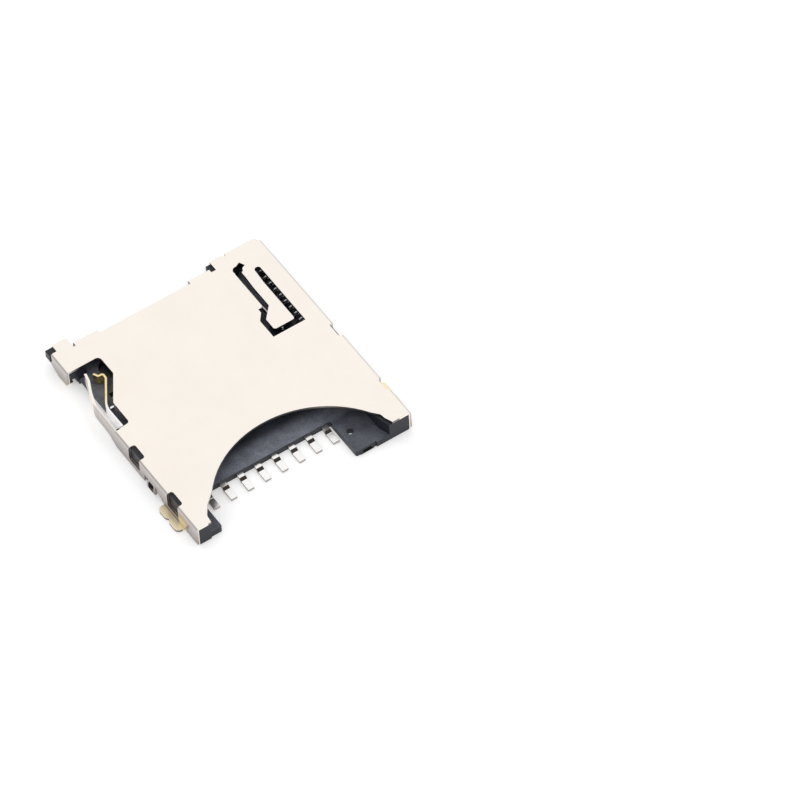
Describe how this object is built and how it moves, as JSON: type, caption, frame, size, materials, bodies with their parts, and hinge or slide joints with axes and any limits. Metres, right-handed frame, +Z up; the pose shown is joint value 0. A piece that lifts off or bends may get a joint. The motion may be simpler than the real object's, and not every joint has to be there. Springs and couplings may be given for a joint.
{
  "type": "microsd card connector",
  "caption": "Low surface-mount push-push connector for a micro memory card: folded steel shell over a thin moulded floor with sprung contacts, detect switch and eject slider.",
  "frame": {"origin": "centre of the outline, solder tabs and rear tongue included, at the plane of the board", "axes": "+X across the card towards the eject slider, +Y the way the card goes in, +Z up from the board"},
  "size_m": [0.0148, 0.0152, 0.0014],
  "materials": {
    "insulator": "satin moulded",
    "shell_steel": "bright rolled, plated",
    "contact_alloy": "nickel plated copper alloy",
    "switch_gold": "gold flash",
    "slider_plastic": "satin moulded",
    "spring_steel": "bright drawn wire"
  },
  "bodies": {
    "connector": {"housing": "insulator", "shell": "shell_steel", "contact_1": "contact_alloy", "contact_2": "contact_alloy", "contact_3": "contact_alloy", "contact_4": "contact_alloy", "contact_5": "contact_alloy", "contact_6": "contact_alloy", "contact_7": "contact_alloy", "contact_8": "contact_alloy", "switch_contact": "switch_gold", "floor_stiffener": "contact_alloy"},
    "slider": {"slider": "slider_plastic", "coil_spring": "spring_steel"},
    "cam_pin": {"cam_pin": "spring_steel"}
  },
  "joints": [
    {"name": "slider_travel", "type": "slide", "parent": "connector", "child": "slider", "axis": [0, 1, 0], "range_m": [0, 0.0034], "stiffness_N_per_m": 200, "springref_m": -0.003, "deforming": ["coil_spring"]},
    {"name": "cam_pin_swing", "type": "hinge", "parent": "connector", "child": "cam_pin", "pos_m": [0.00422, 0.00699, 0], "axis": [0, 0, 1], "range_deg": [0, 3.6]}
  ],
  "couplings": [
    {"joint": "cam_pin_swing", "follows": "slider_travel", "rad_per_m": 17.9}
  ]
}
